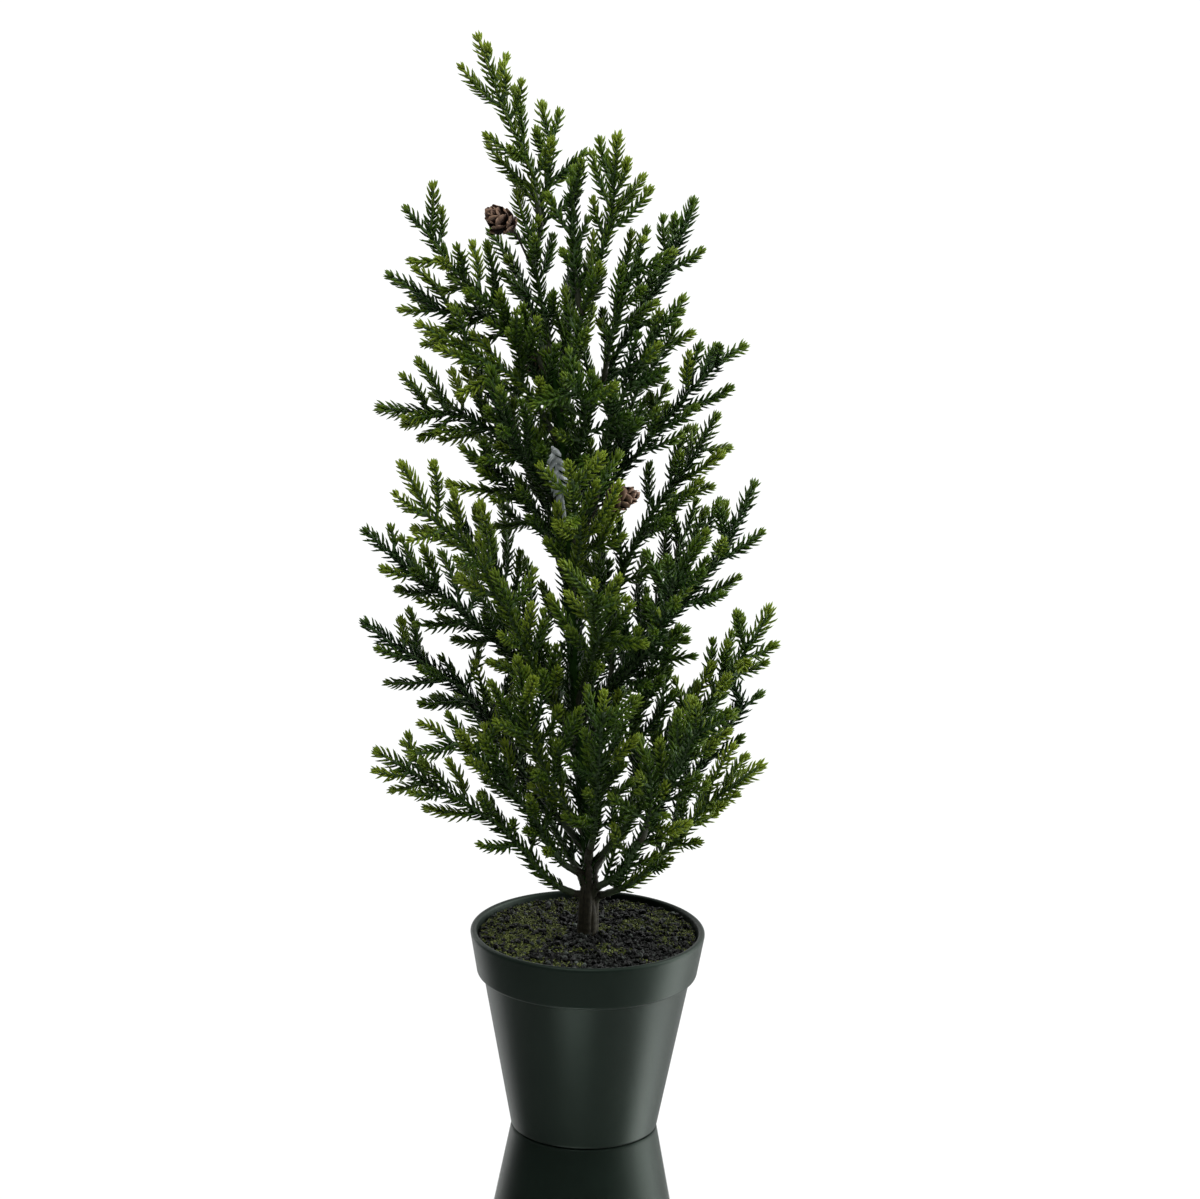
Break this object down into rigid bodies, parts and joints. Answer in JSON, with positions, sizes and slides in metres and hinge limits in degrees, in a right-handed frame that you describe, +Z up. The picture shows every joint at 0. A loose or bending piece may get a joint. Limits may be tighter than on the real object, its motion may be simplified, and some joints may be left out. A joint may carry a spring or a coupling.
{
  "type": "artificial tabletop tree",
  "caption": "Potted tabletop evergreen: bendable needle boughs on a taped trunk rod, small cones, and a weighted tapered pot filled with imitation soil.",
  "frame": {"origin": "centre of the pot's flat underside", "axes": "+Z up along the trunk, -Y towards the front, +X to the right as seen from the front"},
  "size_m": [0.2221, 0.1591, 0.601],
  "materials": {
    "pot": "satin dark grey-green moulded plastic",
    "ballast": "cast cement",
    "foam": "open rigid foam",
    "soil": "dark crumbs with moss patches",
    "bark": "brown crepe paper tape",
    "foliage": "moulded soft plastic needles",
    "cone": "dry open scales",
    "cone_wire": "brown lacquered wire",
    "pale_twig": "unpainted pale grey plastic"
  },
  "bodies": {
    "root": {"pot": "pot", "ballast_block": "ballast", "foam_disc": "foam", "soil_disc": "soil", "trunk_rod": "bark", "trunk_tape": "bark", "front_upper": "foliage", "front_top": "foliage", "front_top_left": "foliage", "front_mid": "foliage", "front_mid_right": "foliage", "inner_left": "foliage", "inner_right": "foliage", "back_upper_left": "foliage", "back_upper_right": "foliage", "back_upper": "foliage", "back_top_left": "foliage", "back_top": "foliage", "cone_middle": "cone", "cone_wire_middle": "cone_wire", "cone_lower": "cone", "cone_wire_lower": "cone_wire", "pale_twig": "pale_twig"},
    "leader": {"leader_stem": "foliage", "leader_tip": "foliage", "leader_side": "foliage", "cone_upper": "cone", "cone_wire_upper": "cone_wire"},
    "top_mid_bough": {"top_mid": "foliage", "top_inner": "foliage"},
    "right_top_bough": {"right_top": "foliage", "right_top_inner": "foliage"},
    "right_upper_bough": {"right_upper": "foliage", "right_upper_inner": "foliage"},
    "left_top_bough": {"left_top": "foliage"},
    "left_top_back_bough": {"left_top_back": "foliage"},
    "left_top_front_bough": {"left_top_front": "foliage"},
    "left_upper_bough": {"left_upper": "foliage"},
    "left_upper_low_bough": {"left_upper_low": "foliage"},
    "right_mid_bough": {"right_mid": "foliage", "right_mid_inner": "foliage"},
    "left_high_bough": {"left_high": "foliage"},
    "left_front_bough": {"left_front": "foliage"},
    "left_mid_bough": {"left_mid": "foliage"},
    "right_lower_bough": {"right_lower": "foliage"},
    "right_low_bough": {"right_low": "foliage", "right_low_upper": "foliage"},
    "front_right_bough": {"front_right": "foliage", "front_right_upper": "foliage"},
    "front_low_bough": {"front_low": "foliage"},
    "left_low_bough": {"left_low": "foliage"},
    "left_inner_bough": {"left_inner": "foliage"},
    "back_left_bough": {"back_low_left": "foliage"},
    "back_right_bough": {"back_low_right": "foliage"},
    "back_bough": {"back_low": "foliage"},
    "back_mid_left_bough": {"back_mid_left": "foliage"},
    "back_mid_right_bough": {"back_mid_right": "foliage"},
    "back_mid_bough": {"back_mid": "foliage"}
  },
  "joints": [
    {"name": "leader_bend", "type": "hinge", "parent": "root", "child": "leader", "pos_m": [-0.02611, 0, 0.43416], "axis": [0.0003, -1, 0], "range_deg": [-6, 6]},
    {"name": "top_mid_bend", "type": "hinge", "parent": "root", "child": "top_mid_bough", "pos_m": [-0.0181, -0.00232, 0.4061], "axis": [0.5789, 0.8154, 0], "range_deg": [-4, 8]},
    {"name": "right_top_bend", "type": "hinge", "parent": "root", "child": "right_top_bough", "pos_m": [-0.01389, 0.00064, 0.37309], "axis": [0.0193, 0.9998, 0], "range_deg": [-4, 8]},
    {"name": "right_upper_bend", "type": "hinge", "parent": "root", "child": "right_upper_bough", "pos_m": [-0.01114, 0, 0.33264], "axis": [0.1789, 0.9839, 0], "range_deg": [-5, 8]},
    {"name": "left_top_bend", "type": "hinge", "parent": "root", "child": "left_top_bough", "pos_m": [-0.02883, -0.00032, 0.42434], "axis": [0.054, -0.9985, 0], "range_deg": [-5, 8]},
    {"name": "left_top_back_bend", "type": "hinge", "parent": "root", "child": "left_top_back_bough", "pos_m": [-0.02592, 0.00184, 0.40826], "axis": [-0.1588, -0.9873, 0], "range_deg": [-5, 8]},
    {"name": "left_top_front_bend", "type": "hinge", "parent": "root", "child": "left_top_front_bough", "pos_m": [-0.02312, -0.00229, 0.38887], "axis": [0.3992, -0.9169, 0], "range_deg": [-5, 8]},
    {"name": "left_upper_bend", "type": "hinge", "parent": "root", "child": "left_upper_bough", "pos_m": [-0.02037, 0.00025, 0.34504], "axis": [-0.058, -0.9983, 0], "range_deg": [-5, 8]},
    {"name": "left_upper_low_bend", "type": "hinge", "parent": "root", "child": "left_upper_low_bough", "pos_m": [-0.01851, -0.0009, 0.31733], "axis": [0.1988, -0.98, 0], "range_deg": [-5, 8]},
    {"name": "right_mid_bend", "type": "hinge", "parent": "root", "child": "right_mid_bough", "pos_m": [-0.00415, 0.00061, 0.23234], "axis": [-0.1267, 0.9919, 0], "range_deg": [-5, 8]},
    {"name": "left_high_bend", "type": "hinge", "parent": "root", "child": "left_high_bough", "pos_m": [-0.01198, 0, 0.2286], "axis": [0.0395, -0.9992, 0], "range_deg": [-5, 8]},
    {"name": "left_front_bend", "type": "hinge", "parent": "root", "child": "left_front_bough", "pos_m": [-0.01012, -0.0032, 0.22261], "axis": [0.5204, -0.8539, 0], "range_deg": [-5, 8]},
    {"name": "left_mid_bend", "type": "hinge", "parent": "root", "child": "left_mid_bough", "pos_m": [-0.00576, 0.00124, 0.1623], "axis": [-0.0194, -0.9998, 0], "range_deg": [-5, 8]},
    {"name": "right_lower_bend", "type": "hinge", "parent": "root", "child": "right_lower_bough", "pos_m": [0.00363, -0.00038, 0.1506], "axis": [0.0996, 0.995, 0], "range_deg": [-5, 8]},
    {"name": "right_low_bend", "type": "hinge", "parent": "root", "child": "right_low_bough", "pos_m": [0.00345, -0.0005, 0.13106], "axis": [0.0368, 0.9993, 0], "range_deg": [-5, 8]},
    {"name": "front_right_bend", "type": "hinge", "parent": "root", "child": "front_right_bough", "pos_m": [0.00243, -0.00286, 0.13661], "axis": [0.7507, 0.6606, 0], "range_deg": [-5, 8]},
    {"name": "front_low_bend", "type": "hinge", "parent": "root", "child": "front_low_bough", "pos_m": [0.00009, -0.00426, 0.15703], "axis": [0.989, 0.1481, 0], "range_deg": [-5, 8]},
    {"name": "left_low_bend", "type": "hinge", "parent": "root", "child": "left_low_bough", "pos_m": [-0.00371, -0.00086, 0.13151], "axis": [0.2139, -0.9769, 0], "range_deg": [-5, 8]},
    {"name": "left_inner_bend", "type": "hinge", "parent": "root", "child": "left_inner_bough", "pos_m": [-0.00393, -0.00197, 0.14477], "axis": [0.3735, -0.9276, 0], "range_deg": [-5, 6]},
    {"name": "back_left_bend", "type": "hinge", "parent": "root", "child": "back_left_bough", "pos_m": [-0.00281, 0.00307, 0.1404], "axis": [-0.708, -0.7062, 0], "range_deg": [-5, 8]},
    {"name": "back_right_bend", "type": "hinge", "parent": "root", "child": "back_right_bough", "pos_m": [0.00228, 0.00289, 0.14491], "axis": [-0.7279, 0.6857, 0], "range_deg": [-5, 8]},
    {"name": "back_bend", "type": "hinge", "parent": "root", "child": "back_bough", "pos_m": [-0.00003, 0.00437, 0.15472], "axis": [-1, 0.0078, 0], "range_deg": [-5, 8]},
    {"name": "back_mid_left_bend", "type": "hinge", "parent": "root", "child": "back_mid_left_bough", "pos_m": [-0.00881, 0.00337, 0.21093], "axis": [-0.6733, -0.7394, 0], "range_deg": [-5, 8]},
    {"name": "back_mid_right_bend", "type": "hinge", "parent": "root", "child": "back_mid_right_bough", "pos_m": [-0.00329, 0.0023, 0.21509], "axis": [-0.6407, 0.7678, 0], "range_deg": [-5, 8]},
    {"name": "back_mid_bend", "type": "hinge", "parent": "root", "child": "back_mid_bough", "pos_m": [-0.00878, 0.00412, 0.25042], "axis": [-0.998, 0.064, 0], "range_deg": [-5, 8]}
  ]
}
